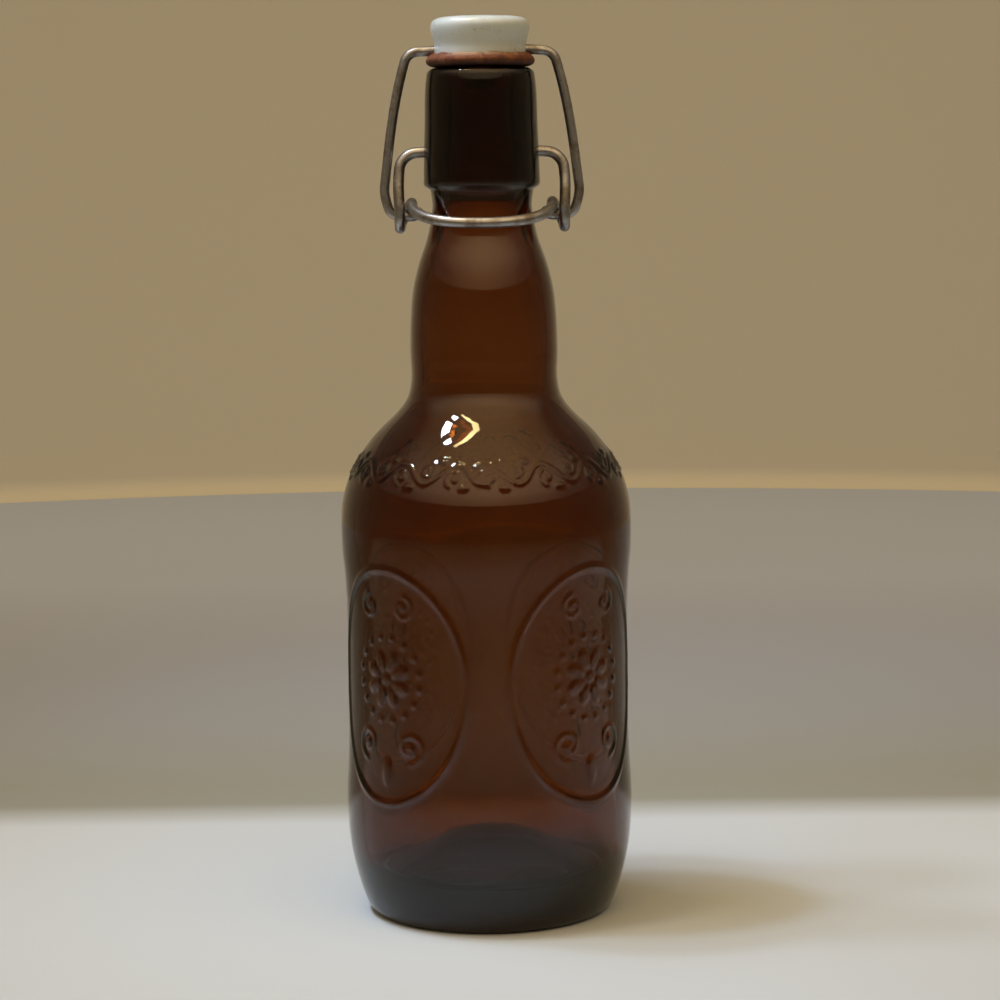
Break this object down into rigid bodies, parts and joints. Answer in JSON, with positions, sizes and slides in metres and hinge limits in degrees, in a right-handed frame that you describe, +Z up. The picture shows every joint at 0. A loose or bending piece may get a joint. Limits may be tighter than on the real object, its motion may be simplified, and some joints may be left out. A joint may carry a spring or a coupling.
{
  "type": "swing top beer bottle",
  "caption": "Half-litre amber glass beer bottle with a swollen neck, closed by a porcelain swing stopper on a wire bail and lever.",
  "frame": {"origin": "middle of the base ring's plane, on the bottle's axis", "axes": "+Z up along the bottle's axis, -Y towards the lever's thumb loop, X along the axes of the three hinges"},
  "size_m": [0.0778, 0.0778, 0.2395],
  "materials": {
    "amber_glass": "clear brown glass, glossy",
    "steel_wire": "drawn wire, satin, dulled",
    "porcelain": "white glaze, glossy",
    "red_rubber": "aged red rubber, matt, worn at its edge"
  },
  "bodies": {
    "bottle": {"bottle": "amber_glass"},
    "lever": {"lever": "steel_wire"},
    "bail": {"bail": "steel_wire"},
    "stopper": {"stopper": "porcelain", "gasket": "red_rubber"}
  },
  "joints": [
    {"name": "lever_swing", "type": "hinge", "parent": "bottle", "child": "lever", "pos_m": [0, 0, 0.204], "axis": [-1, 0, 0], "range_deg": [0, 94]},
    {"name": "bail_swing", "type": "hinge", "parent": "lever", "child": "bail", "pos_m": [0, 0.0009, 0.1874], "axis": [-1, 0, 0], "range_deg": [-63, 0]},
    {"name": "stopper_swing", "type": "hinge", "parent": "bail", "child": "stopper", "pos_m": [0, 0, 0.2305], "axis": [-1, 0, 0], "range_deg": [-33, 0]}
  ],
  "couplings": [
    {"joint": "bail_swing", "follows": "lever_swing", "ratio": -0.66},
    {"joint": "stopper_swing", "follows": "lever_swing", "ratio": -0.34}
  ]
}
